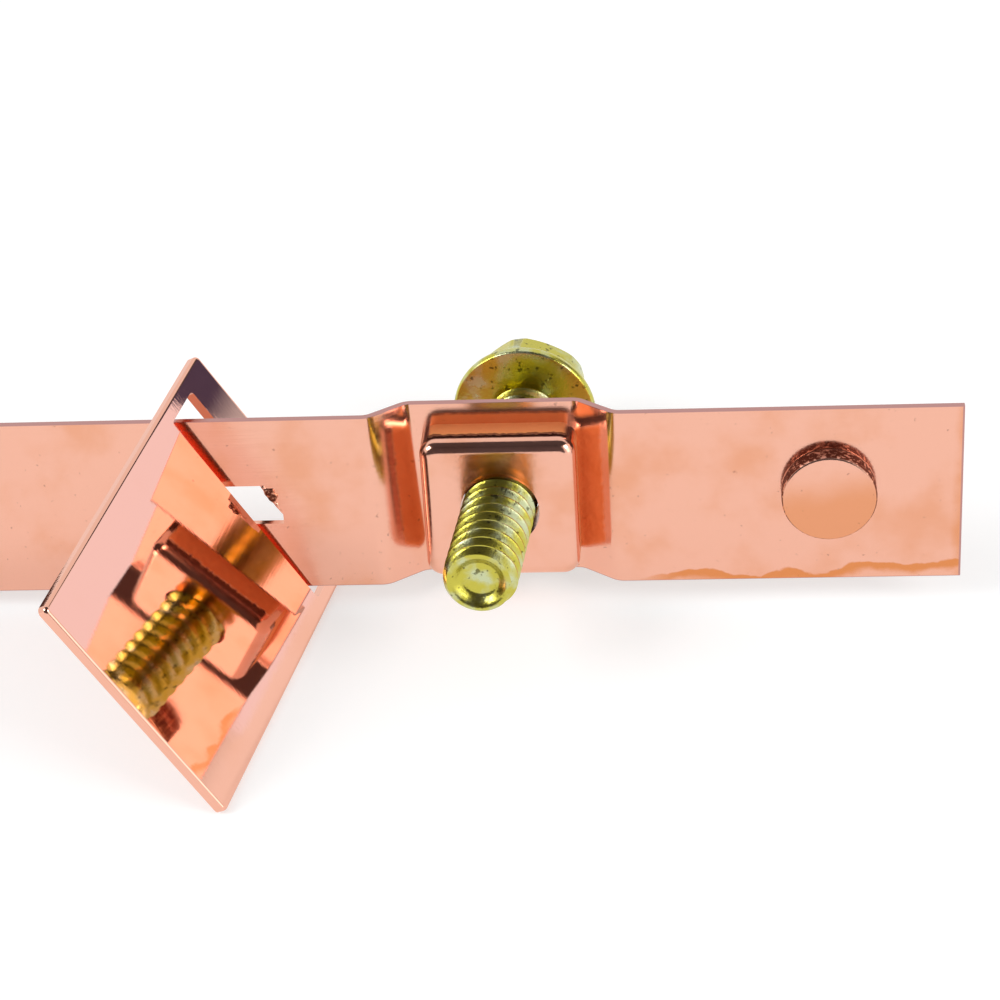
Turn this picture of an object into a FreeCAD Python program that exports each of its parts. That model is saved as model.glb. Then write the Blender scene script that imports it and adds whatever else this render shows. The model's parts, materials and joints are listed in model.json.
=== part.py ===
"""Copper ground strap: a joggled copper strip with a terminal screw, its square nut and a slotted keeper.

Pieces are drawn in the strap's own frame and then turned together into the pose they rest in.
Strap frame, millimetres: X along the strap towards its square end, Y to the back where the
screw's head is, Z up across the strap's width. Its origin is on the strap's front face, mid
width, as far along the strap as the terminal.
"""
import FreeCAD, Part
import math
import os

Vector = FreeCAD.Vector
AXIS_X = Vector(1, 0, 0)
AXIS_Y = Vector(0, 1, 0)
AXIS_Z = Vector(0, 0, 1)

# Strap: half inch copper strip
STRAP_WIDTH = 12.7
STRAP_THICKNESS = 0.45
STRAP_SHORT_END = 30.15     # terminal axis to the square end
STRAP_LONG_END = 122.0      # terminal axis to the far end that wraps a pipe
JOGGLE_DEPTH = 1.85         # how far the seat for the nut is set back
JOGGLE_SEAT = 11.9          # flat length of that seat
JOGGLE_RAMP = 2.4           # run of each ramp along the strap
BEND_RADIUS = 1.0           # inside radius of the four bends

# Drawn button near the square end
BUTTON_X = 21.5
BUTTON_Z = 0.34
BUTTON_DIAMETER = 6.2
BUTTON_HEIGHT = 1.2
BUTTON_ROLL = 0.2           # edge radius of its flat top

# Punched slot beside the keeper
PUNCH_END_X = -14.5
PUNCH_LENGTH = 5.0
PUNCH_HEIGHT = 2.9
PUNCH_CORNER_RUN = 1.3      # cut-off upper corner, along the strap
PUNCH_CORNER_DROP = 2.2     # and down from the top

TERMINAL_Z = -0.3           # terminal axis below the strap's middle

# Terminal screw, number 10 by 7/8 inch, slotted hexagon washer head
SCREW_DIAMETER = 4.83
SCREW_LENGTH = 22.2
SCREW_PROUD = 8.9           # tip past the nut's front face
SCREW_LEAN = 4.5            # degrees that the loose screw leans in its nut
TIP_CHAMFER = 0.55
FLANGE_DIAMETER = 10.0
FLANGE_THICKNESS = 0.8
HEAD_FLATS = 7.94
HEAD_HEIGHT = 3.0           # hexagon above the flange
HEAD_CHAMFER = 0.5
HEAD_TURN = 98.0            # degrees that the head is turned from slot upright
DRIVE_SLOT_WIDTH = 1.2
DRIVE_SLOT_DEPTH = 1.3
STRAP_HOLE_CLEARANCE = 0.6  # radial, screw in strap
NUT_HOLE_CLEARANCE = 0.2    # radial, room for the thread form

# Square nut, blanked from thick copper
NUT_SIDE = 10.2
NUT_THICKNESS = 2.75
NUT_CORNER = 1.1
NUT_ROLL = 0.8              # rolled front edge

# Keeper: flat slotted plate threaded on the strap
KEEPER_LENGTH = 25.2
KEEPER_WIDTH = 18.3
KEEPER_THICKNESS = 0.7
KEEPER_CORNER = 0.4
KEEPER_ROLL = 0.25          # rounded edge of its polished face
KEEPER_BAR = 2.75           # bar between the slot and the near edge
SLOT_LENGTH = 16.2
SLOT_WIDTH = 3.4
SLOT_CORNER = 0.3
KEEPER_X = -16.73           # where the strap's front face passes its slot, mid width
KEEPER_SHIFT = 0.1          # along the slot, from its middle to the strap's middle
KEEPER_SEAT = 0.6           # slot's inner edge to the strap's front face, mid width
KEEPER_YAW = 4.5            # degrees about Z, then pitch about Y and roll about X
KEEPER_PITCH = 59.3
KEEPER_ROLL_ANGLE = 21.7

# Rest: turns about X then Y that set the pieces on a table
REST_LEAN = -11.5
REST_DIP = -1.0

CUT_MARGIN = 1.0            # how far a cutting tool stands past the faces it cuts


def unit(vector):
    """Return the vector at length one."""
    return vector * (1.0 / vector.Length)


def rounded_edges(points, radii):
    """Straight runs through the points, with a tangent arc at each inner point."""
    edges = []
    start = points[0]
    for before, corner, after, radius in zip(points, points[1:], points[2:], radii):
        arrive = unit(corner - before)
        leave = unit(after - corner)
        turn = arrive.getAngle(leave)
        reach = radius * math.tan(turn / 2)
        inward = unit(leave - arrive)
        sagitta = radius / math.cos(turn / 2) - radius
        enter = corner - arrive * reach
        exit_point = corner + leave * reach
        edges.append(Part.LineSegment(start, enter).toShape())
        edges.append(Part.Arc(enter, corner + inward * sagitta, exit_point).toShape())
        start = exit_point
    edges.append(Part.LineSegment(start, points[-1]).toShape())
    return edges


def strap_line(offset):
    """Corner points of the strap's side view, offset to the back from its front face."""
    slope = math.atan2(JOGGLE_DEPTH, JOGGLE_RAMP)
    shift = offset * math.tan(slope / 2)
    seat = JOGGLE_SEAT / 2
    top = seat + JOGGLE_RAMP
    return [
        Vector(-STRAP_LONG_END, offset, 0),
        Vector(-top - shift, offset, 0),
        Vector(-seat - shift, JOGGLE_DEPTH + offset, 0),
        Vector(seat + shift, JOGGLE_DEPTH + offset, 0),
        Vector(top + shift, offset, 0),
        Vector(STRAP_SHORT_END, offset, 0),
    ]


def strap_sheet():
    """The bent strip, its side view carried across the width."""
    outside = BEND_RADIUS + STRAP_THICKNESS
    front = rounded_edges(strap_line(0), [outside, BEND_RADIUS, BEND_RADIUS, outside])
    back = rounded_edges(strap_line(STRAP_THICKNESS), [BEND_RADIUS, outside, outside, BEND_RADIUS])
    ends = [
        Part.LineSegment(Vector(x, 0, 0), Vector(x, STRAP_THICKNESS, 0)).toShape()
        for x in (-STRAP_LONG_END, STRAP_SHORT_END)
    ]
    outline = Part.Wire(Part.__sortEdges__(front + back + ends))
    sheet = Part.Face(outline).extrude(AXIS_Z * STRAP_WIDTH)
    sheet.translate(Vector(0, 0, -STRAP_WIDTH / 2))
    return sheet


def drawn_button():
    """Outer and inner cylinders of the flat-topped button, and the hollow behind it."""
    foot = Vector(BUTTON_X, STRAP_THICKNESS / 2, BUTTON_Z)
    front = AXIS_Y * -1
    outer = Part.makeCylinder(BUTTON_DIAMETER / 2, BUTTON_HEIGHT + STRAP_THICKNESS / 2, foot, front)
    rim = [edge for edge in outer.Edges if edge.BoundBox.YMax < foot.y - BUTTON_HEIGHT / 2]
    outer = outer.makeFillet(BUTTON_ROLL, [edge for edge in rim if edge.Closed])
    mouth = Vector(BUTTON_X, STRAP_THICKNESS, BUTTON_Z)
    hollow = Part.makeCylinder(BUTTON_DIAMETER / 2 - STRAP_THICKNESS, BUTTON_HEIGHT, mouth, front)
    return outer, hollow


def punched_slot():
    """The slot through the strap, with one corner cut off."""
    low = -PUNCH_HEIGHT / 2
    high = PUNCH_HEIGHT / 2
    start = PUNCH_END_X - PUNCH_LENGTH
    corners = [
        Vector(start, 0, low),
        Vector(PUNCH_END_X, 0, low),
        Vector(PUNCH_END_X, 0, high - PUNCH_CORNER_DROP),
        Vector(PUNCH_END_X - PUNCH_CORNER_RUN, 0, high),
        Vector(start, 0, high),
    ]
    outline = Part.makePolygon(corners + corners[:1])
    cut = Part.Face(outline).extrude(AXIS_Y * (STRAP_THICKNESS + 2 * CUT_MARGIN))
    cut.translate(Vector(0, -CUT_MARGIN, 0))
    return cut


def make_strap():
    """Strip with its joggle, screw hole, punched slot and drawn button."""
    button, hollow = drawn_button()
    hole_radius = SCREW_DIAMETER / 2 + STRAP_HOLE_CLEARANCE
    hole_depth = JOGGLE_DEPTH + STRAP_THICKNESS + CUT_MARGIN
    hole = Part.makeCylinder(hole_radius, hole_depth, Vector(0, 0, TERMINAL_Z), AXIS_Y)
    return strap_sheet().fuse(button).cut(hollow).cut(hole).cut(punched_slot()).removeSplitter()


def nut_front():
    """Y of the nut's front face."""
    return JOGGLE_DEPTH - NUT_THICKNESS


def make_nut():
    """Square blank with rounded corners and a rolled front edge, bored for the screw."""
    half = NUT_SIDE / 2
    nut = Part.makeBox(NUT_SIDE, NUT_THICKNESS, NUT_SIDE, Vector(-half, nut_front(), -half))
    corners = [edge for edge in nut.Edges if abs(edge.BoundBox.YLength - NUT_THICKNESS) < 0.01]
    nut = nut.makeFillet(NUT_CORNER, corners)
    rim = [edge for edge in nut.Edges if edge.BoundBox.YMax < nut_front() + NUT_ROLL / 2]
    nut = nut.makeFillet(NUT_ROLL, rim)
    bore_radius = SCREW_DIAMETER / 2 + NUT_HOLE_CLEARANCE
    bore_start = Vector(0, nut_front() - CUT_MARGIN, 0)
    bore = Part.makeCylinder(bore_radius, NUT_THICKNESS + 2 * CUT_MARGIN, bore_start, AXIS_Y)
    nut = nut.cut(bore)
    nut.translate(Vector(0, 0, TERMINAL_Z))
    return nut


def screw_tip():
    """Y of the screw's tip before it leans."""
    return nut_front() - SCREW_PROUD


def make_screw():
    """Shank with a chamfered tip, round flange and slotted hexagon head, along Y."""
    radius = SCREW_DIAMETER / 2
    shank = Part.makeCylinder(radius, SCREW_LENGTH, Vector(0, screw_tip(), 0), AXIS_Y)
    tip_end = screw_tip() + TIP_CHAMFER
    tip = [edge for edge in shank.Edges if edge.Closed and edge.BoundBox.YMax < tip_end]
    shank = shank.makeChamfer(TIP_CHAMFER, tip)
    seat = screw_tip() + SCREW_LENGTH
    flange = Part.makeCylinder(FLANGE_DIAMETER / 2, FLANGE_THICKNESS, Vector(0, seat, 0), AXIS_Y)
    top = seat + FLANGE_THICKNESS
    across_corners = HEAD_FLATS / math.cos(math.pi / 6)
    angles = [math.radians(60 * step) for step in range(6)]
    corners = [Vector(math.cos(a), 0, math.sin(a)) * (across_corners / 2) for a in angles]
    hexagon = Part.Face(Part.makePolygon(corners + corners[:1])).extrude(AXIS_Y * HEAD_HEIGHT)
    hexagon.translate(Vector(0, top, 0))
    crown_top = across_corners / 2 - HEAD_CHAMFER
    crown = Part.makeCone(crown_top + HEAD_HEIGHT, crown_top, HEAD_HEIGHT, Vector(0, top, 0), AXIS_Y)
    hexagon = hexagon.common(crown)
    drive_floor = top + HEAD_HEIGHT - DRIVE_SLOT_DEPTH
    drive = Part.makeBox(DRIVE_SLOT_WIDTH, DRIVE_SLOT_DEPTH + CUT_MARGIN, FLANGE_DIAMETER)
    drive.translate(Vector(-DRIVE_SLOT_WIDTH / 2, drive_floor, -FLANGE_DIAMETER / 2))
    screw = shank.fuse([flange, hexagon]).cut(drive).removeSplitter()
    screw.rotate(Vector(), AXIS_Y, -HEAD_TURN)
    middle = Vector(0, nut_front() + NUT_THICKNESS / 2, 0)
    screw.rotate(middle, AXIS_Z, -SCREW_LEAN)
    screw.translate(Vector(0, 0, TERMINAL_Z))
    return screw


def make_keeper():
    """Flat plate with a slot near one edge, drawn flat and then set on the strap."""
    slot_low = KEEPER_LENGTH - KEEPER_BAR - SLOT_WIDTH
    plate = Part.makeBox(KEEPER_WIDTH, KEEPER_LENGTH, KEEPER_THICKNESS)
    plate.translate(Vector(-KEEPER_WIDTH / 2, 0, -KEEPER_THICKNESS))
    upright = [edge for edge in plate.Edges if edge.BoundBox.ZLength > KEEPER_THICKNESS / 2]
    plate = plate.makeFillet(KEEPER_CORNER, upright)
    rim = [edge for edge in plate.Edges if edge.BoundBox.ZMin > -KEEPER_ROLL / 2]
    plate = plate.makeFillet(KEEPER_ROLL, rim)
    slot = Part.makeBox(SLOT_LENGTH, SLOT_WIDTH, KEEPER_THICKNESS + 2 * CUT_MARGIN)
    slot.translate(Vector(-SLOT_LENGTH / 2, slot_low, -KEEPER_THICKNESS - CUT_MARGIN))
    slot_corners = [edge for edge in slot.Edges if edge.BoundBox.ZLength > KEEPER_THICKNESS]
    slot = slot.makeFillet(SLOT_CORNER, slot_corners)
    plate = plate.cut(slot)
    plate.translate(Vector(KEEPER_SHIFT, -slot_low - KEEPER_SEAT, 0))
    turn = FreeCAD.Rotation(KEEPER_YAW, KEEPER_PITCH, KEEPER_ROLL_ANGLE)
    plate.Placement = FreeCAD.Placement(Vector(KEEPER_X, 0, 0), turn).multiply(plate.Placement)
    return plate


def settle(pieces):
    """Turn the pieces into their rest pose, with the origin under the middle of their box."""
    for shape in pieces.values():
        shape.rotate(Vector(), AXIS_X, REST_LEAN)
        shape.rotate(Vector(), AXIS_Y, REST_DIP)
    box = Part.makeCompound(list(pieces.values())).BoundBox
    for shape in pieces.values():
        shape.translate(Vector(-box.Center.x, -box.Center.y, -box.ZMin))


def main():
    """Build, settle and write each piece."""
    pieces = {
        "strap": make_strap(),
        "terminal_nut": make_nut(),
        "terminal_screw": make_screw(),
        "keeper_plate": make_keeper(),
    }
    pieces = {name: shape.Solids[0] for name, shape in pieces.items()}
    settle(pieces)
    os.makedirs("parts", exist_ok=True)
    for name, shape in pieces.items():
        print(name, shape.ShapeType, len(shape.Solids), shape.isValid(), round(shape.Volume, 2))
        shape.exportStep("parts/" + name + ".step")


main()
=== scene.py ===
"""Looks for a copper ground strap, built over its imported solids: thread, burrs, metal finishes and stage.

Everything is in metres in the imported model's frame. Places on the part are given in the strap's own
frame, in millimetres: x along the strap to its square end, y to the back where the screw's head is,
z up across the strap. Its origin is on the strap's front face, mid width, as far along the strap as the
terminal.
"""

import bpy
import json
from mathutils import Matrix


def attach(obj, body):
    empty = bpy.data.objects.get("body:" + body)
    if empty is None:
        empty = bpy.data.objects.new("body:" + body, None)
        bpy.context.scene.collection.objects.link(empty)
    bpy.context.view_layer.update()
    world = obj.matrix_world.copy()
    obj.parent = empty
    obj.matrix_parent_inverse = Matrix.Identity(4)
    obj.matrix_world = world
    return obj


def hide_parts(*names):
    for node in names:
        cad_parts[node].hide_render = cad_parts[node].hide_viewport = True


bl_info = {
    "name": "Copper ground strap",
    "version": (1, 0, 0),
    "blender": (4, 5, 0),
    "location": "View3D > Sidebar > Ground Strap",
    "description": "Dresses the packed ground strap with its thread, burrs and metal finishes",
    "category": "Object",
}

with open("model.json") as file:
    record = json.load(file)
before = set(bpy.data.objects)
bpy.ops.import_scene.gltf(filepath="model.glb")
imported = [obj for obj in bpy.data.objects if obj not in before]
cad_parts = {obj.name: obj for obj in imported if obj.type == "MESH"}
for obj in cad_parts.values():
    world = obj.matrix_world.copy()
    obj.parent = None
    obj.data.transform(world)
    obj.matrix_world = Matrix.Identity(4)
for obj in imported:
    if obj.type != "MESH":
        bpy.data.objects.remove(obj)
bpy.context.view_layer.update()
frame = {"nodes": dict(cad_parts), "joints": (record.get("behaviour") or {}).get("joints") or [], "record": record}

import json
import math

import bmesh
import bpy
import numpy as np
from mathutils import Matrix, Vector

MM = 0.001
MOUNTS = {mount["name"]: mount for mount in frame["record"]["mounts"]}
JOINTS = {joint["name"]: joint for joint in frame["joints"]}

# Strap frame, from the record: the keeper slides along it and the pipe lies on its front face
STRAP_X = Vector(JOINTS["keeper_slide"]["axis"]).normalized()
STRAP_Y = -Vector(MOUNTS["pipe_face"]["axis"]).normalized()
STRAP_Z = STRAP_X.cross(STRAP_Y)
PIPE_FACE_X = -60.0
STRAP_ORIGIN = Vector(MOUNTS["pipe_face"]["pos_m"]) - STRAP_X * (PIPE_FACE_X * MM)

# Places and sizes of the solids that the finishes have to find, in the strap frame, mm
STRAP_WIDTH = 12.7
SQUARE_END_X = 30.15
BUTTON_X = 21.5
BUTTON_Z = 0.34
BUTTON_RADIUS = 3.1
SLOT_END_X = -14.5
SLOT_TOP = 1.45
SLOT_CORNER_RUN = 1.3
SLOT_CORNER_DROP = 2.2
TERMINAL_Z = -0.3
NUT_HALF_SIDE = 5.1
SEAT_HALF = 5.0             # the nut's seat ends past here
RAMPS_END = 12.0            # both ramps end before here

# Marks that the finishes draw, in the strap frame, mm
DRYING_LEVEL = -6.8         # height of the drying line, drawn back along its climb to x 0
TORN_FRONT = 0.48           # the nut's sides are torn where y and half the grain add up to more
TORN_LINE = 0.55            # width of the brown line where the tear begins

# Screw sizes, mm: number 10, 24 threads per inch, slotted hexagon washer head
SCREW_RADIUS = 2.415
SCREW_LENGTH = 22.2
CREST_FLAT = 0.14           # shares of the thread's triangle that are cut flat
ROOT_FLAT = 0.22
TIP_CONE = 0.75             # rise of the tip's cone for each mm along
TIP_FALL = 2.0              # how fast the first thread's root falls away from the rim
DISH_RIM = 0.93             # shares of the end's radius where its hollow begins and is deepest
DISH_FLOOR = 0.5
FLANGE_RADIUS = 5.0
FLANGE_THICKNESS = 0.8
FLANGE_RIM = 0.22           # width of the flange's rounded rim
FLANGE_RISE = 0.15          # how much its top rises to the hexagon
HEAD_FLATS = 7.94
HEAD_HEIGHT = 3.0
HEAD_CHAMFER = 0.5
HEAD_ROUND = 4.3            # radius to which the hexagon's corners are rounded
HEAD_TURN = 98.0            # degrees, from the slot upright
DRIVE_SLOT_WIDTH = 1.2
DRIVE_SLOT_DEPTH = 1.3
COLUMNS = 80                # points round the screw

# Meshes: points nearer than this are one, metres, and edges over this angle stay sharp, degrees
WELD_DISTANCE = 1e-6
SHARP_ANGLE = 40

# Camera in the strap frame, mm
CAMERA_PLACE = (14.547, -161.126, 93.218)
CAMERA_AIM = (-0.02, 0.0, 0.05)
CAMERA_ROLL = -3.68
LENS_MM = 102.1
SENSOR_MM = 36.0

# Stage in the model's frame, metres and watts
FLOOR_SIDE = 3.0
LAMP_SIZE = 0.22
LAMPS = {
    "key_lamp": {"place": (-0.34, -0.16, 0.36), "watts": 1.2},
    "fill_lamp": {"place": (0.44, -0.20, 0.32), "watts": 0.9},
    "low_lamp": {"place": (0.46, -0.22, 0.08), "watts": 0.2},
}
FRONT_FLAG = {"centre": (-0.16, -0.50, 0.40), "normal": (0, 1, 0), "width": 0.98, "height": 0.78}
OVERHEAD_FLAG = {"centre": (0.05, -0.16, 0.62), "normal": (0, 0, -1), "width": 1.4, "height": 0.68}
BACK_FLAG = {"centre": (0.1993, 0.1292, 0.040), "normal": (-0.86, -0.5, 0), "width": 0.047, "height": 0.060}
TALL_FLAG = {"centre": (0.191, 0.138, 0.120), "normal": (-0.77, -0.64, 0), "width": 0.100, "height": 0.120}
BRIGHT_CARD = {"centre": (0.205, 0.086, 0.035), "normal": (-0.9, -0.43, 0), "width": 0.036, "height": 0.070}
BACK_FLAG_FADE = (-0.0195, -0.015)  # heights from its middle between which its cloth darkens
FLOOR_GLOW = 0.46
CARD_GLOW = 1.35
WORLD_SEEN = 1.0            # light of the surroundings where they are seen, and on matt surfaces
WORLD_MATT = 0.6


def srgb(code):
    """Linear colour with alpha from a six digit sRGB hex code."""
    parts = [int(code[i:i + 2], 16) / 255 for i in (0, 2, 4)]
    return [p / 12.92 if p <= 0.04045 else ((p + 0.055) / 1.055) ** 2.4 for p in parts] + [1.0]


def on_strap(x, y, z):
    """Point in the model's frame, metres, of a place in the strap frame, mm."""
    return STRAP_ORIGIN + (STRAP_X * x + STRAP_Y * y + STRAP_Z * z) * MM


class StrapSizes(bpy.types.PropertyGroup):
    """Sizes of the pieces that this file makes."""

    thread_pitch: bpy.props.FloatProperty(
        name="Thread Pitch", description="Distance between thread crests, mm", default=25.4 / 24, min=0.3)
    thread_depth: bpy.props.FloatProperty(
        name="Thread Depth", description="Crest to root, mm", default=0.58, min=0.1)
    tip_chamfer: bpy.props.FloatProperty(
        name="Tip Chamfer", description="Length of the cone at the screw's tip, mm", default=0.45, min=0.1)
    tip_dish: bpy.props.FloatProperty(
        name="Tip Dish", description="Depth of the hollow in the screw's end, mm", default=0.5, min=0.0)
    burr_radius: bpy.props.FloatProperty(
        name="Burr Radius", description="Half the width of the burr at the punched slot, mm", default=0.3)
    right_ramp_shift: bpy.props.FloatProperty(
        name="Right Ramp Shift", description="How far the hand-set right ramp is moved towards the nut, mm",
        default=0.8)
    left_ramp_skew: bpy.props.FloatProperty(
        name="Left Ramp Skew", description="How much nearer the nut the left ramp is at its foot, mm",
        default=0.5)


class StrapColours(bpy.types.PropertyGroup):
    """Colours of the metals."""

    copper: bpy.props.FloatVectorProperty(
        name="Copper", description="Clean copper", subtype="COLOR", size=4, default=srgb("EDB29B"))
    tarnish: bpy.props.FloatVectorProperty(
        name="Tarnish", description="Thin orange oxide on copper", subtype="COLOR", size=4,
        default=srgb("DC8C56"))
    # brown for the real specks and the nut's brown line, and also the painted dark reflection on the button's torn
    # wall
    oxide_and_dark_reflection: bpy.props.FloatVectorProperty(
        name="Oxide", description="Brown oxide on torn copper", subtype="COLOR", size=4,
        default=srgb("6E3A2C"))
    zinc: bpy.props.FloatVectorProperty(
        name="Yellow Zinc", description="Chromated zinc plate", subtype="COLOR", size=4,
        default=srgb("C3BA4E"))
    zinc_pale: bpy.props.FloatVectorProperty(
        name="Pale Zinc", description="Worn, greener plate", subtype="COLOR", size=4,
        default=srgb("C9D2AE"))
    zinc_speck: bpy.props.FloatVectorProperty(
        name="Zinc Speck", description="Pits in the plate", subtype="COLOR", size=4, default=srgb("3A3414"))
    slit_copper: bpy.props.FloatVectorProperty(
        name="Slit Copper", description="Dull copper of the strip's cut edges", subtype="COLOR", size=4,
        default=srgb("B98984"))
    # painted light: paler and brighter than torn copper is, standing for the light its rough sides catch
    torn_copper_painted_light: bpy.props.FloatVectorProperty(
        name="Torn Copper", description="Rough copper of the nut's sides", subtype="COLOR", size=4,
        default=srgb("FAAE74"))


def add_node(tree, kind, inputs=None, **settings):
    """Add a shader node, set its properties, fill its inputs with values or sockets, return its outputs."""
    node = tree.nodes.new("ShaderNode" + kind)
    for name, value in settings.items():
        setattr(node, name, value)
    for key, value in (inputs or {}).items():
        if isinstance(value, bpy.types.NodeSocket):
            tree.links.new(value, node.inputs[key])
        else:
            node.inputs[key].default_value = value
    return node.outputs


def strap_place(tree):
    """Place of the shaded point in the strap frame, mm: as a vector, and its x, y and z."""
    turn = Matrix((STRAP_X, STRAP_Y, STRAP_Z))
    vector = add_node(tree, "Mapping", {
        "Vector": add_node(tree, "TexCoord")["Object"],
        "Location": -(turn @ STRAP_ORIGIN) / MM,
        "Rotation": turn.to_euler(),
        "Scale": (1 / MM, 1 / MM, 1 / MM),
    })[0]
    return [vector] + list(add_node(tree, "SeparateXYZ", {0: vector}))


def new_metal(name):
    """Material, its node tree and its shader, set to bare metal."""
    material = bpy.data.materials.new(name)
    material.use_nodes = True
    shader = material.node_tree.nodes["Principled BSDF"]
    shader.inputs["Metallic"].default_value = 1.0
    return material, material.node_tree, shader


def set_finish(tree, shader, colour, roughness, height, bump):
    """Link the colour, the roughness and a bump, its depth in mm, to the shader."""
    tree.links.new(colour, shader.inputs["Base Color"])
    tree.links.new(roughness, shader.inputs["Roughness"])
    normal = add_node(tree, "Bump", {"Height": height, "Strength": 1.0, "Distance": bump * MM})[0]
    tree.links.new(normal, shader.inputs["Normal"])


def rolled_copper(colours):
    """Rolled copper strip, slit and left bright.

    The rolls leave fine lines along it, handling leaves clouds of thin orange oxide and brown specks, water
    leaves a drying line at the lower edge, and the punch leaves a torn wall round the button, painted dark brown
    as a painted dark reflection. Its cut edges are duller.
    """
    material, tree, shader = new_metal("rolled_copper")
    place, x, y, z = strap_place(tree)
    smooth = {"interpolation_type": "SMOOTHSTEP"}
    # roll lines 25 mm long, drawn 0.2 mm apart so that they show
    lines = add_node(tree, "Mapping", {"Vector": place, "Scale": (1 / 25, 1, 1 / 0.2)})[0]
    roll = add_node(tree, "TexNoise", {"Vector": lines, "Scale": 1.0, "Detail": 2.0})[0]
    # clouds of oxide 5 mm across, torn grain 0.25 mm across
    cloud = add_node(tree, "TexNoise", {"Vector": place, "Scale": 1 / 5, "Detail": 6.0})[0]
    grain = add_node(tree, "TexNoise", {"Vector": place, "Scale": 1 / 0.25, "Detail": 3.0})[0]
    haze = add_node(tree, "MapRange", {0: cloud, 1: 0.44, 2: 0.74, 4: 0.42}, **smooth)[0]

    # a wavy drying line that climbs 1 mm in 18 from the lower edge towards the square end
    wave = add_node(tree, "Math", {0: cloud, 1: 3.6, 2: -1.8}, operation="MULTIPLY_ADD")[0]
    wavy = add_node(tree, "Math", {0: z, 1: wave}, operation="ADD")[0]
    level = add_node(tree, "Math", {0: x, 1: -1 / 18, 2: wavy}, operation="MULTIPLY_ADD")[0]
    under = add_node(tree, "MapRange", {0: level, 1: DRYING_LEVEL + 0.15, 2: DRYING_LEVEL}, **smooth)[0]
    over = add_node(tree, "MapRange", {
        0: level, 1: DRYING_LEVEL - 0.9, 2: DRYING_LEVEL - 0.3, 3: 0.1,
    }, **smooth)[0]
    far = add_node(tree, "MapRange", {0: x, 1: 8.0, 2: 12.0}, **smooth)[0]
    band = add_node(tree, "Math", {0: under, 1: over}, operation="MULTIPLY")[0]
    stain = add_node(tree, "Math", {0: band, 1: far}, operation="MULTIPLY")[0]
    haze = add_node(tree, "Math", {0: haze, 1: stain}, operation="MAXIMUM")[0]

    # oxide that creeps in from the square end, uneven as the clouds are
    creep = add_node(tree, "Math", {0: cloud, 1: 3.0, 2: x}, operation="MULTIPLY_ADD")[0]
    ended = add_node(tree, "MapRange", {
        0: creep, 1: SQUARE_END_X + 0.6, 2: SQUARE_END_X + 1.8, 4: 0.7,
    }, **smooth)[0]
    haze = add_node(tree, "Math", {0: haze, 1: ended}, operation="MAXIMUM")[0]

    # the button: oxide on its lower part, and its torn wall painted dark brown as a painted dark reflection
    flat = add_node(tree, "CombineXYZ", {0: x, 2: z})[0]
    centre = (BUTTON_X, 0.0, BUTTON_Z)
    reach = add_node(tree, "VectorMath", {0: flat, 1: centre}, operation="DISTANCE")["Value"]
    raised = add_node(tree, "MapRange", {0: y, 1: -0.05, 2: -0.15}, **smooth)[0]
    rim = add_node(tree, "MapRange", {
        0: reach, 1: BUTTON_RADIUS - 0.12, 2: BUTTON_RADIUS - 0.04,
    }, **smooth)[0]
    wall = add_node(tree, "Math", {0: raised, 1: rim}, operation="MULTIPLY")[0]
    lower = add_node(tree, "MapRange", {0: wavy, 1: 2.6, 2: -0.4, 4: 0.7}, **smooth)[0]
    dull = add_node(tree, "Math", {0: raised, 1: lower}, operation="MULTIPLY")[0]
    haze = add_node(tree, "Math", {0: haze, 1: dull}, operation="MAXIMUM")[0]
    colour = add_node(tree, "Mix", {0: haze, 6: colours.copper, 7: colours.tarnish}, data_type="RGBA")[2]
    # painted dark reflection: the grain of the button's torn wall is mixed towards dark brown
    dark = add_node(tree, "MapRange", {0: grain, 1: 0.35, 2: 0.5}, **smooth)[0]
    torn = add_node(tree, "Math", {0: wall, 1: dark}, operation="MULTIPLY")[0]
    colour = add_node(tree, "Mix", {0: torn, 6: colour, 7: colours.oxide_and_dark_reflection}, data_type="RGBA")[2]

    # brown specks 0.4 mm across, and the dull edges where the strip was slit and cropped
    speck = add_node(tree, "TexNoise", {"Vector": place, "Scale": 1 / 0.4, "Detail": 2.0})[0]
    spots = add_node(tree, "MapRange", {0: speck, 1: 0.68, 2: 0.76, 4: 0.35}, **smooth)[0]
    colour = add_node(tree, "Mix", {0: spots, 6: colour, 7: colours.oxide_and_dark_reflection}, data_type="RGBA")[2]
    upright = add_node(tree, "Math", {0: z}, operation="ABSOLUTE")[0]
    slit = add_node(tree, "MapRange", {0: upright, 1: STRAP_WIDTH / 2 - 0.06, 2: STRAP_WIDTH / 2 - 0.02})[0]
    cropped = add_node(tree, "MapRange", {0: x, 1: SQUARE_END_X - 0.16, 2: SQUARE_END_X - 0.08})[0]
    edge = add_node(tree, "Math", {0: slit, 1: cropped}, operation="MAXIMUM")[0]
    colour = add_node(tree, "Mix", {0: edge, 6: colour, 7: colours.slit_copper}, data_type="RGBA")[2]

    roughness = add_node(tree, "Math", {0: roll, 1: 0.12, 2: 0.09}, operation="MULTIPLY_ADD")[0]
    roughness = add_node(tree, "Math", {0: wall, 1: 0.45, 2: roughness}, operation="MULTIPLY_ADD")[0]
    fine = add_node(tree, "Math", {0: roll, 1: 0.1}, operation="MULTIPLY")[0]
    height = add_node(tree, "Math", {0: wall, 1: grain, 2: fine}, operation="MULTIPLY_ADD")[0]
    set_finish(tree, shader, colour, roughness, height, 0.03)
    return material


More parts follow.
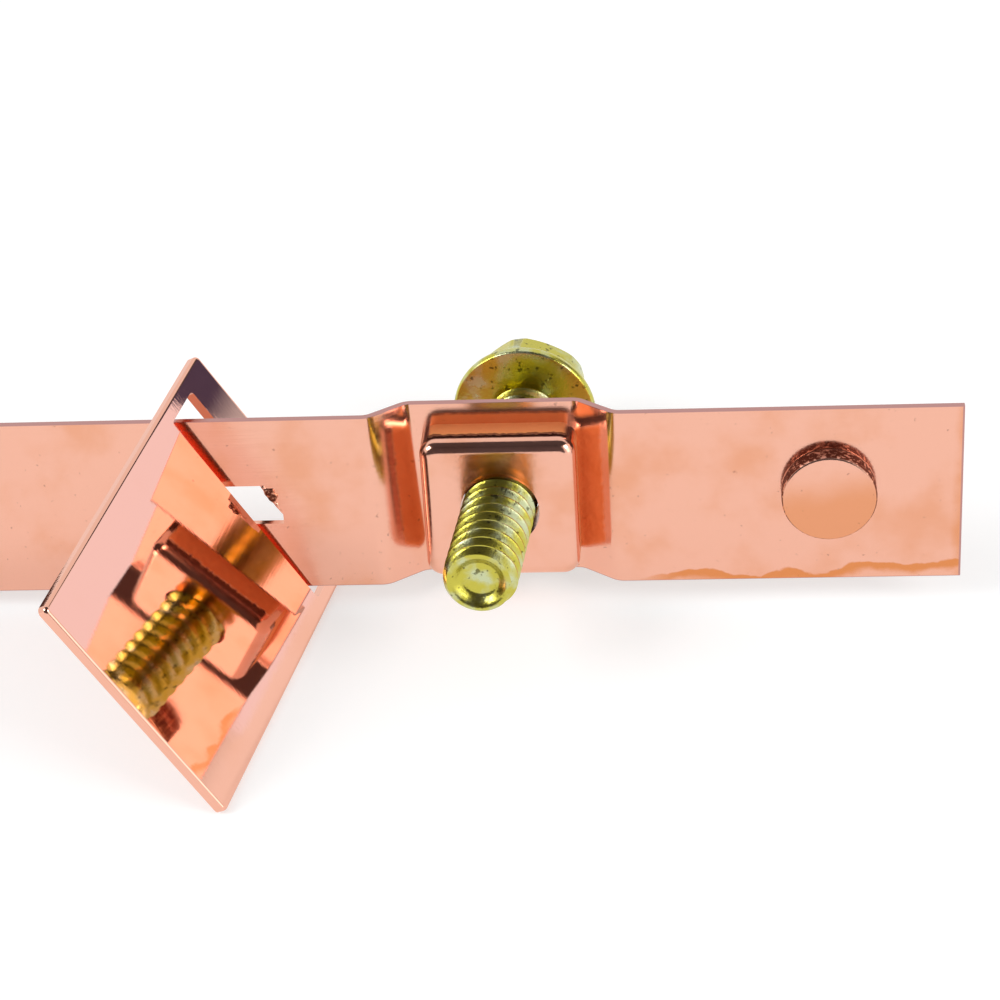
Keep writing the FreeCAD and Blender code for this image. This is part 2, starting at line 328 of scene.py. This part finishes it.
def polished_copper(colours):
    """Copper sheet polished close to a mirror: sharp reflections, hair scratches and a faint cast."""
    material, tree, shader = new_metal("polished_copper")
    place = strap_place(tree)[0]
    smooth = {"interpolation_type": "SMOOTHSTEP"}
    # a cast in clouds 7 mm across, hair scratches 0.1 mm wide and 0.8 mm long
    cloud = add_node(tree, "TexNoise", {"Vector": place, "Scale": 1 / 7, "Detail": 3.0})[0]
    hairs = add_node(tree, "Mapping", {"Vector": place, "Scale": (1 / 0.8, 1 / 0.1, 1 / 0.8)})[0]
    hair = add_node(tree, "TexNoise", {"Vector": hairs, "Scale": 1.0, "Detail": 2.0})[0]
    haze = add_node(tree, "MapRange", {0: cloud, 1: 0.5, 2: 0.8, 4: 0.2}, **smooth)[0]
    colour = add_node(tree, "Mix", {0: haze, 6: colours.copper, 7: colours.tarnish}, data_type="RGBA")[2]
    roughness = add_node(tree, "Math", {0: hair, 1: 0.03, 2: 0.01}, operation="MULTIPLY_ADD")[0]
    set_finish(tree, shader, colour, roughness, hair, 0.0006)
    return material


def blanked_copper(colours):
    """Thick copper blank, tumbled after its die.

    Its face is soft and clouded. Its sides are torn to rough orange grain behind the rolled edge, coloured paler
    and brighter as painted light, and the tear begins with a brown line on the upper and lower ones.
    """
    material, tree, shader = new_metal("blanked_copper")
    place, x, y, z = strap_place(tree)
    smooth = {"interpolation_type": "SMOOTHSTEP"}
    # torn grain 0.35 mm across, clouds of oxide 3 mm across
    grain = add_node(tree, "TexNoise", {"Vector": place, "Scale": 1 / 0.35, "Detail": 4.0})[0]
    cloud = add_node(tree, "TexNoise", {"Vector": place, "Scale": 1 / 3, "Detail": 3.0})[0]
    above = add_node(tree, "Math", {0: z, 1: TERMINAL_Z}, operation="SUBTRACT")[0]
    beside = add_node(tree, "Math", {0: x}, operation="ABSOLUTE")[0]
    upright = add_node(tree, "Math", {0: above}, operation="ABSOLUTE")[0]
    reach = add_node(tree, "Math", {0: beside, 1: upright}, operation="MAXIMUM")[0]
    side = add_node(tree, "MapRange", {
        0: reach, 1: NUT_HALF_SIDE - 0.2, 2: NUT_HALF_SIDE - 0.05,
    }, **smooth)[0]
    jagged = add_node(tree, "Math", {0: grain, 1: 0.5, 2: y}, operation="MULTIPLY_ADD")[0]
    behind = add_node(tree, "MapRange", {0: jagged, 1: TORN_FRONT, 2: TORN_FRONT + 0.1}, **smooth)[0]
    torn = add_node(tree, "Math", {0: behind, 1: side}, operation="MULTIPLY")[0]
    line = add_node(tree, "Math", {0: jagged, 1: TORN_FRONT, 2: TORN_LINE / 2}, operation="COMPARE")[0]
    crown = add_node(tree, "MapRange", {
        0: upright, 1: NUT_HALF_SIDE - 0.2, 2: NUT_HALF_SIDE - 0.1, 4: 0.8,
    }, **smooth)[0]
    brown = add_node(tree, "Math", {0: line, 1: crown}, operation="MULTIPLY")[0]

    haze = add_node(tree, "MapRange", {0: cloud, 1: 0.42, 2: 0.75, 4: 0.3}, **smooth)[0]
    colour = add_node(tree, "Mix", {0: haze, 6: colours.copper, 7: colours.tarnish}, data_type="RGBA")[2]
    # painted light: the torn sides take the paler, brighter copper
    colour = add_node(tree, "Mix", {0: torn, 6: colour, 7: colours.torn_copper_painted_light}, data_type="RGBA")[2]
    colour = add_node(tree, "Mix", {0: brown, 6: colour, 7: colours.oxide_and_dark_reflection}, data_type="RGBA")[2]
    roughness = add_node(tree, "Math", {0: grain, 1: 0.14, 2: 0.09}, operation="MULTIPLY_ADD")[0]
    roughness = add_node(tree, "Math", {0: torn, 1: 0.5, 2: roughness}, operation="MULTIPLY_ADD")[0]
    relief = add_node(tree, "Math", {0: torn, 1: 0.08}, operation="ADD")[0]
    height = add_node(tree, "Math", {0: grain, 1: relief}, operation="MULTIPLY")[0]
    set_finish(tree, shader, colour, roughness, height, 0.05)
    return material


def chromated_zinc(colours):
    """Zinc plated steel with a yellow chromate: patchy between olive gold and pale green, dark specks."""
    material, tree, shader = new_metal("chromated_zinc")
    place = strap_place(tree)[0]
    smooth = {"interpolation_type": "SMOOTHSTEP"}
    # patches 1.6 mm across, specks 0.45 mm across, plating grain 0.16 mm across
    cloud = add_node(tree, "TexNoise", {"Vector": place, "Scale": 1 / 1.6, "Detail": 4.0})[0]
    speck = add_node(tree, "TexNoise", {"Vector": place, "Scale": 1 / 0.45, "Detail": 2.0})[0]
    grain = add_node(tree, "TexNoise", {"Vector": place, "Scale": 1 / 0.16, "Detail": 2.0})[0]
    worn = add_node(tree, "MapRange", {0: cloud, 1: 0.46, 2: 0.68, 4: 0.85}, **smooth)[0]
    spots = add_node(tree, "MapRange", {0: speck, 1: 0.62, 2: 0.7, 4: 0.7}, **smooth)[0]
    colour = add_node(tree, "Mix", {0: worn, 6: colours.zinc, 7: colours.zinc_pale}, data_type="RGBA")[2]
    colour = add_node(tree, "Mix", {0: spots, 6: colour, 7: colours.zinc_speck}, data_type="RGBA")[2]
    roughness = add_node(tree, "Math", {0: cloud, 1: 0.2, 2: 0.15}, operation="MULTIPLY_ADD")[0]
    set_finish(tree, shader, colour, roughness, grain, 0.012)
    return material


def grid_faces(rows, columns, start):
    """Quads of a grid of points, as an array of corner numbers."""
    corner = np.arange(rows * columns).reshape(rows, columns) + start
    quads = np.stack([corner[:-1, :-1], corner[:-1, 1:], corner[1:, 1:], corner[1:, :-1]], axis=-1)
    return quads.reshape(-1, 4)


def surface_piece(name, grids, material, body):
    """One object from several grids of points."""
    faces = []
    start = 0
    for grid in grids:
        rows, columns = grid.shape[:2]
        faces.append(grid_faces(rows, columns, start))
        start += rows * columns
    points = np.concatenate([grid.reshape(-1, 3) for grid in grids])
    mesh = bpy.data.meshes.new(name)
    mesh.from_pydata(points.tolist(), [], np.concatenate(faces).tolist())
    weld_and_shade(mesh)
    return finished_piece(name, mesh, material, body)


def finished_piece(name, mesh, material, body):
    """Object of a mesh with its material, on its body."""
    mesh.materials.clear()
    mesh.materials.append(material)
    piece = bpy.data.objects.new(name, mesh)
    bpy.context.scene.collection.objects.link(piece)
    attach(piece, body)
    return piece


def weld_and_shade(mesh):
    """Merge points that coincide, face every surface outwards and keep its sharp edges."""
    work = bmesh.new()
    work.from_mesh(mesh)
    bmesh.ops.remove_doubles(work, verts=work.verts, dist=WELD_DISTANCE)
    bmesh.ops.dissolve_degenerate(work, edges=work.edges, dist=WELD_DISTANCE / 10)
    bmesh.ops.recalc_face_normals(work, faces=work.faces)
    work.to_mesh(mesh)
    work.free()
    mesh.polygons.foreach_set("use_smooth", np.ones(len(mesh.polygons), bool))
    mesh.set_sharp_from_angle(angle=math.radians(SHARP_ANGLE))


class ScrewLine:
    """The leaning screw's own axes: along from tip to head, across the drive slot, and up along it."""

    def __init__(self):
        self.along = -Vector(JOINTS["screw_travel"]["axis"]).normalized()
        level = (STRAP_X - self.along * STRAP_X.dot(self.along)).normalized()
        turn = Matrix.Rotation(math.radians(-HEAD_TURN), 3, self.along)
        self.across = turn @ level
        self.up = self.along.cross(self.across)
        node = frame["nodes"]["terminal_screw"].data
        points = np.empty(len(node.vertices) * 3, np.float32)
        node.vertices.foreach_get("co", points)
        distance = points.reshape(-1, 3) @ np.array(self.along)
        on_axis = Vector(MOUNTS["screw_end"]["pos_m"])
        self.tip = on_axis + self.along * (float(distance.min()) - on_axis.dot(self.along))

    def points(self, along, across, up):
        """Points in the model's frame, metres, for arrays in mm from the tip."""
        parts = zip((along, across, up), (self.along, self.across, self.up))
        return np.array(self.tip) + sum(value[..., None] * np.array(axis) for value, axis in parts) * MM

    def revolved(self, along, radius):
        """Surface of revolution: the profile (along, radius) carried round the axis."""
        around = np.linspace(0, 2 * math.pi, COLUMNS + 1)
        radius = np.asarray(radius)[:, None]
        along = np.broadcast_to(np.asarray(along)[:, None], (len(radius), len(around)))
        return self.points(along, radius * np.cos(around), radius * np.sin(around))


def threaded_shank(line, sizes, rows_per_turn=18):
    """Right-hand thread on a shank, closed at its head.

    The grid runs along the helix. At turn t and angle a, the distance from the tip is
    pitch * (t + a / full turn - 1), held between the two ends. The ridge is a triangle wave of t, cut
    flat at crest and root, and the radius is root + depth * ridge. Near the tip the radius stays between
    two cones that start from the rim, one opening and one closing.
    """
    around = np.linspace(0, 2 * math.pi, COLUMNS + 1)
    pitch = sizes.thread_pitch
    rows = math.ceil((SCREW_LENGTH / pitch + 1) * rows_per_turn) + 1
    turns = np.arange(rows)[:, None] / rows_per_turn
    along = np.clip((turns + around / (2 * math.pi) - 1) * pitch, 0, SCREW_LENGTH)
    triangle = 1 - np.abs(2 * (turns % 1.0) - 1)
    ridge = np.clip((triangle - ROOT_FLAT) / (1 - CREST_FLAT - ROOT_FLAT), 0, 1)
    root = SCREW_RADIUS - sizes.thread_depth
    rim = tip_radius(sizes)
    radius = np.minimum(root + sizes.thread_depth * ridge, rim + along * TIP_CONE)
    radius = np.maximum(radius, rim - along * TIP_FALL)
    radius = np.where(along < SCREW_LENGTH, radius, root)
    shank = line.points(along, radius * np.cos(around), radius * np.sin(around))
    return [shank, line.revolved([SCREW_LENGTH, SCREW_LENGTH], [root, 0])]


def tip_radius(sizes):
    """Radius of the rim round the screw's end, inside the tip's cone, mm."""
    return SCREW_RADIUS - sizes.tip_chamfer * TIP_CONE


def screw_end(line, sizes, rings=28):
    """End of the screw: a narrow rim, then a hollow that falls to a floor as half a cosine wave."""
    share = np.linspace(1, 0, rings)
    fall = np.clip((DISH_RIM - share) / (DISH_RIM - DISH_FLOOR), 0, 1)
    depth = sizes.tip_dish * (0.5 - 0.5 * np.cos(math.pi * fall))
    return line.revolved(depth, share * tip_radius(sizes))


def washer_flange(line, rim_rings=13):
    """Round flange, closed.

    Its underside is flat, its rim is half an ellipse, and its top rises to a flat inside the hexagon.
    """
    middle = FLANGE_THICKNESS / 2
    turn = np.linspace(0, math.pi, rim_rings)
    rim_along = middle - middle * np.cos(turn)
    rim_radius = FLANGE_RADIUS - FLANGE_RIM + FLANGE_RIM * np.sin(turn)
    crown = FLANGE_THICKNESS + FLANGE_RISE
    crown_radius = HEAD_FLATS / 2 - 0.3
    seat_radius = FLANGE_RADIUS - 1.2
    along = np.concatenate([[0.0, 0.0], rim_along, [crown, crown]])
    radius = np.concatenate([[0.0, seat_radius], rim_radius, [crown_radius, 0.0]])
    return line.revolved(along + SCREW_LENGTH, radius)


def hexagon_head(line, side_strips=30, slot_strips=5, strip_points=41):
    """Hexagon with rounded corners, a coned top and a drive slot, as a height over strips across the slot.

    At distance c across, a strip reaches up and down to the hexagon's edge or to the circle that rounds
    its corners. Its height is the lower of the flat top and a 45 degree cone, and inside the slot's width
    it is the slot's floor. Walls and a base close it.
    """
    corner = HEAD_FLATS / 2 / math.cos(math.pi / 6)
    half = DRIVE_SLOT_WIDTH / 2
    step = 1e-4
    sweep = np.linspace(0, math.acos((half + step) / HEAD_ROUND), side_strips)
    outer = HEAD_ROUND * np.cos(sweep)
    across = np.concatenate([-outer, np.linspace(-half, half, slot_strips), outer[::-1]])
    hexagon = np.minimum(HEAD_FLATS / 2, (corner - np.abs(across)) * math.tan(math.pi / 3))
    circle = np.sqrt(np.maximum(0, HEAD_ROUND ** 2 - across ** 2))
    up = np.minimum(hexagon, circle)[:, None] * np.linspace(-1, 1, strip_points)
    wide = np.broadcast_to(across[:, None], up.shape)
    cone = HEAD_HEIGHT - np.maximum(0, np.hypot(wide, up) - (HEAD_ROUND - HEAD_CHAMFER))
    slot_floor = HEAD_HEIGHT - DRIVE_SLOT_DEPTH
    top = np.where(np.abs(wide) <= half, np.minimum(cone, slot_floor), cone)
    base = SCREW_LENGTH + FLANGE_THICKNESS
    foot = np.full_like(top, base)
    surfaces = [line.points(top + base, wide, up), line.points(foot, wide, up)]
    for side in (0, -1):
        surfaces.append(np.stack([grid[:, side] for grid in surfaces[:2]], axis=1))
    return surfaces


class DRESS_OT_screw(bpy.types.Operator):
    """Terminal screw with a real thread, flange and slotted hexagon"""

    bl_idname = "ground_strap.screw"
    bl_label = "Terminal Screw"

    def execute(self, context):
        sizes = context.scene.strap_sizes
        line = ScrewLine()
        zinc = chromated_zinc(context.scene.strap_colours)
        shank = threaded_shank(line, sizes) + [screw_end(line, sizes)]
        threaded = surface_piece("screw_thread", shank, zinc, "screw")
        top = [washer_flange(line)] + hexagon_head(line)
        head = surface_piece("screw_head", top, zinc, "screw")
        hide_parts("terminal_screw")
        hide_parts("terminal_screw")
        return {"FINISHED"}


class DRESS_OT_coppers(bpy.types.Operator):
    """Copper finishes of the keeper and the nut"""

    bl_idname = "ground_strap.coppers"
    bl_label = "Copper Finishes"

    def execute(self, context):
        colours = context.scene.strap_colours
        finishes = {"keeper_plate": polished_copper, "terminal_nut": blanked_copper}
        for node, finish in finishes.items():
            piece = frame["nodes"][node]
            piece.data.materials.clear()
            piece.data.materials.append(finish(colours))
        return {"FINISHED"}


class DRESS_OT_strip(bpy.types.Operator):
    """Strap with its ramps as they were set by hand, and the burr that the punch left on its slot"""

    bl_idname = "ground_strap.strip"
    bl_label = "Strap"

    def execute(self, context):
        sizes = context.scene.strap_sizes
        copper = rolled_copper(context.scene.strap_colours)
        strip = finished_piece("formed_strip", formed_strip(sizes), copper, "strap_body")
        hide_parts("strap")
        surface_piece("punch_burr", [burr_bead(sizes)], copper, "strap_body")
        return {"FINISHED"}


def formed_strip(sizes):
    """Copy of the strap's solid with its ramps moved along x.

    Every point of the right ramp moves by the same amount towards the nut. A point of the left ramp moves
    towards it in proportion to how far it is below the top edge. The flats between stay flat.
    """
    mesh = frame["nodes"]["strap"].data.copy()
    points = np.empty(len(mesh.vertices) * 3)
    mesh.vertices.foreach_get("co", points)
    points = points.reshape(-1, 3)
    offset = (points - np.array(STRAP_ORIGIN)) / MM
    x = offset @ np.array(STRAP_X)
    z = offset @ np.array(STRAP_Z)
    right = (x > SEAT_HALF) & (x < RAMPS_END)
    left = (x < -SEAT_HALF) & (x > -RAMPS_END)
    below = 0.5 - z / STRAP_WIDTH
    shift = left * below * sizes.left_ramp_skew - right * sizes.right_ramp_shift
    points += (shift * MM)[:, None] * np.array(STRAP_X)
    mesh.vertices.foreach_set("co", points.ravel())
    return mesh


def burr_bead(sizes, rings=41, columns=16):
    """Bead along the cut-off corner, on the corner's side of the cut: an ellipse carried along it.

    Its size swells towards the upper end as a sine of the squared share of the way, times a sum of two
    sines that makes it lumpy.
    """
    share = np.linspace(0, 1, rings)[:, None]
    around = np.linspace(0, 2 * math.pi, columns + 1)
    lumps = 1 + 0.3 * np.sin(11 * share + 1) + 0.2 * np.sin(27 * share)
    radius = sizes.burr_radius * np.sin(math.pi * share ** 2) ** 0.6 * lumps
    reach = radius * (0.6 + np.cos(around))
    length = math.hypot(SLOT_CORNER_RUN, SLOT_CORNER_DROP)
    x = SLOT_END_X - SLOT_CORNER_RUN * share + reach * SLOT_CORNER_DROP / length
    z = SLOT_TOP - SLOT_CORNER_DROP * (1 - share) + reach * SLOT_CORNER_RUN / length
    y = 0.6 * radius * np.sin(around)
    axes = (STRAP_X, STRAP_Y, STRAP_Z)
    offset = sum(value[..., None] * np.array(axis) for value, axis in zip((x, y, z), axes))
    return np.array(STRAP_ORIGIN) + offset * MM


def seen_ray(tree):
    """1 on rays from the camera, in reflections and through glass, else 0."""
    path = add_node(tree, "LightPath")
    shiny = {0: path["Is Glossy Ray"], 1: path["Is Transmission Ray"]}
    mirrored = add_node(tree, "Math", shiny, operation="MAXIMUM")[0]
    return add_node(tree, "Math", {0: path["Is Camera Ray"], 1: mirrored}, operation="MAXIMUM")[0]


def floor_paper():
    """Matt white paper that glows a little where it is seen, so that it clears to white round a shadow."""
    material = bpy.data.materials.new("floor_paper")
    material.use_nodes = True
    tree = material.node_tree
    shader = tree.nodes["Principled BSDF"]
    shader.inputs["Base Color"].default_value = srgb("CBCBCB")
    shader.inputs["Roughness"].default_value = 0.9
    shader.inputs["Emission Color"].default_value = (1, 1, 1, 1)
    glow = add_node(tree, "Math", {0: seen_ray(tree), 1: FLOOR_GLOW}, operation="MULTIPLY")[0]
    tree.links.new(glow, shader.inputs["Emission Strength"])
    return material


def flag_cloth(name, code):
    """Dull cloth of a studio flag."""
    material = bpy.data.materials.new(name)
    material.use_nodes = True
    shader = material.node_tree.nodes["Principled BSDF"]
    shader.inputs["Base Color"].default_value = srgb(code)
    shader.inputs["Roughness"].default_value = 0.9
    return material


def fading_cloth(name, low, high, start, end):
    """Flag cloth that goes from one colour to another between two heights from its middle, metres."""
    material = flag_cloth(name, low)
    tree = material.node_tree
    place = add_node(tree, "TexCoord")["Object"]
    height = add_node(tree, "SeparateXYZ", {0: place})[1]
    share = add_node(tree, "MapRange", {0: height, 1: start, 2: end})[0]
    colour = add_node(tree, "Mix", {0: share, 6: srgb(low), 7: srgb(high)}, data_type="RGBA")[2]
    tree.links.new(colour, tree.nodes["Principled BSDF"].inputs["Base Color"])
    return material


def bright_card():
    """Cool white card that glows a little brighter than the surroundings."""
    material = flag_cloth("bright_card", "000000")
    shader = material.node_tree.nodes["Principled BSDF"]
    shader.inputs["Emission Color"].default_value = srgb("E8EEFF")
    shader.inputs["Emission Strength"].default_value = CARD_GLOW
    return material


def flat_sheet(name, centre, normal, width, height, material):
    """A flat sheet facing along normal, for the stage."""
    spread = np.array([[-1, -1], [1, -1], [1, 1], [-1, 1]]) * 0.5
    corners = np.column_stack([spread * (width, height), np.zeros(4)])
    mesh = bpy.data.meshes.new(name)
    mesh.from_pydata(corners.tolist(), [], [(0, 1, 2, 3)])
    mesh.materials.append(material)
    sheet = bpy.data.objects.new(name, mesh)
    turn = Vector(normal).to_track_quat("Z", "Y")
    sheet.matrix_world = Matrix.Translation(centre) @ turn.to_matrix().to_4x4()
    bpy.context.scene.collection.objects.link(sheet)
    return sheet


def studio_flag(name, centre, normal, width, height, material):
    """A cloth or card beside the set that only shiny metal sees: no shadow, and nothing in the picture."""
    flag = flat_sheet(name, centre, normal, width, height, material)
    flag.visible_camera = False
    flag.visible_diffuse = False
    flag.visible_shadow = False


def soft_lamp(name, aim, place, watts):
    """Square area lamp that points at aim."""
    lamp = bpy.data.lights.new(name, "AREA")
    lamp.size = LAMP_SIZE
    lamp.energy = watts
    holder = bpy.data.objects.new(name, lamp)
    turn = (Vector(aim) - Vector(place)).to_track_quat("-Z", "Y")
    holder.matrix_world = Matrix.Translation(place) @ turn.to_matrix().to_4x4()
    bpy.context.scene.collection.objects.link(holder)
    return holder


def photo_camera():
    """Camera at the photograph's place, by its aim and roll."""
    camera = bpy.data.cameras.new("photo_camera")
    camera.lens = LENS_MM
    camera.sensor_width = SENSOR_MM
    camera.clip_start = 0.01
    holder = bpy.data.objects.new("photo_camera", camera)
    place = on_strap(*CAMERA_PLACE)
    turn = (on_strap(*CAMERA_AIM) - place).to_track_quat("-Z", "Y").to_matrix().to_4x4()
    roll = Matrix.Rotation(math.radians(CAMERA_ROLL), 4, "Z")
    holder.matrix_world = Matrix.Translation(place) @ turn @ roll
    bpy.context.scene.collection.objects.link(holder)
    bpy.context.scene.camera = holder


def white_world():
    """White surroundings: full white where seen, and a lower level of light on matt surfaces."""
    world = bpy.data.worlds.new("white_surround")
    bpy.context.scene.world = world
    world.use_nodes = True
    tree = world.node_tree
    background = tree.nodes["Background"]
    background.inputs["Color"].default_value = (1, 1, 1, 1)
    levels = {0: seen_ray(tree), 1: WORLD_SEEN - WORLD_MATT, 2: WORLD_MATT}
    strength = add_node(tree, "Math", levels, operation="MULTIPLY_ADD")[0]
    tree.links.new(strength, background.inputs["Strength"])


class DRESS_OT_stage(bpy.types.Operator):
    """Floor, surroundings, lamps, flags and camera"""

    bl_idname = "ground_strap.stage"
    bl_label = "Stage"

    def execute(self, context):
        context.scene.view_settings.view_transform = "Standard"
        white_world()
        flat_sheet("floor", (0, 0, 0), (0, 0, 1), FLOOR_SIDE, FLOOR_SIDE, floor_paper())
        for name, lamp in LAMPS.items():
            soft_lamp(name, STRAP_ORIGIN, **lamp)
        cloth = flag_cloth("flag_cloth", "59545A")
        fading = fading_cloth("back_flag_cloth", "DDEEFF", "534F76", *BACK_FLAG_FADE)
        studio_flag("front_flag", material=cloth, **FRONT_FLAG)
        studio_flag("overhead_flag", material=cloth, **OVERHEAD_FLAG)
        studio_flag("back_flag", material=fading, **BACK_FLAG)
        studio_flag("tall_flag", material=cloth, **TALL_FLAG)
        studio_flag("bright_card", material=bright_card(), **BRIGHT_CARD)
        photo_camera()
        return {"FINISHED"}


class DRESS_PT_panel(bpy.types.Panel):
    """Sidebar panel with the sizes, the colours and the steps"""

    bl_idname = "DRESS_PT_panel"
    bl_label = "Ground Strap"
    bl_space_type = "VIEW_3D"
    bl_region_type = "UI"
    bl_category = "Ground Strap"

    def draw(self, context):
        for group in (context.scene.strap_sizes, context.scene.strap_colours):
            for name in group.__annotations__:
                self.layout.prop(group, name)
        for operator in OPERATORS:
            self.layout.operator(operator.bl_idname)


OPERATORS = (DRESS_OT_coppers, DRESS_OT_strip, DRESS_OT_screw, DRESS_OT_stage)
CLASSES = (StrapSizes, StrapColours) + OPERATORS + (DRESS_PT_panel,)


def register():
    """Register the classes and hang the settings on the scene."""
    for item in CLASSES:
        bpy.utils.register_class(item)
    bpy.types.Scene.strap_sizes = bpy.props.PointerProperty(type=StrapSizes)
    bpy.types.Scene.strap_colours = bpy.props.PointerProperty(type=StrapColours)


def unregister():
    """Undo register."""
    del bpy.types.Scene.strap_colours
    del bpy.types.Scene.strap_sizes
    for item in reversed(CLASSES):
        bpy.utils.unregister_class(item)


def main():
    """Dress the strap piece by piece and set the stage."""
    register()
    bpy.ops.ground_strap.coppers()
    bpy.ops.ground_strap.strip()
    bpy.ops.ground_strap.screw()
    bpy.ops.ground_strap.stage()


if __name__ == "__main__":
    main()
